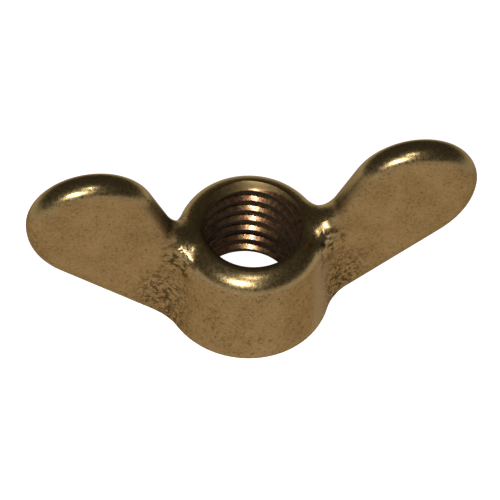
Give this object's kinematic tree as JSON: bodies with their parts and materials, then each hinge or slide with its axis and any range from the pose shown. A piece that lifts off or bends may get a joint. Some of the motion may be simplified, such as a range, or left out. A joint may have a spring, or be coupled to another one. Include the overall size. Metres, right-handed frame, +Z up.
{
  "type": "wing nut",
  "caption": "Cast wing nut: tapered round hub with a threaded through hole between upswept rounded wings, for tightening by hand.",
  "frame": {"origin": "centre of the round bearing face, on the thread axis", "axes": "+Z up the thread axis towards the wing tips, +X along the wing span, +Y through the wing thickness"},
  "size_m": [0.0404, 0.0154, 0.0193],
  "materials": {
    "wing_nut": "tumbled cast bronze, dark brown-gold"
  },
  "bodies": {
    "root": {"wing_nut": "wing_nut"}
  },
  "joints": []
}
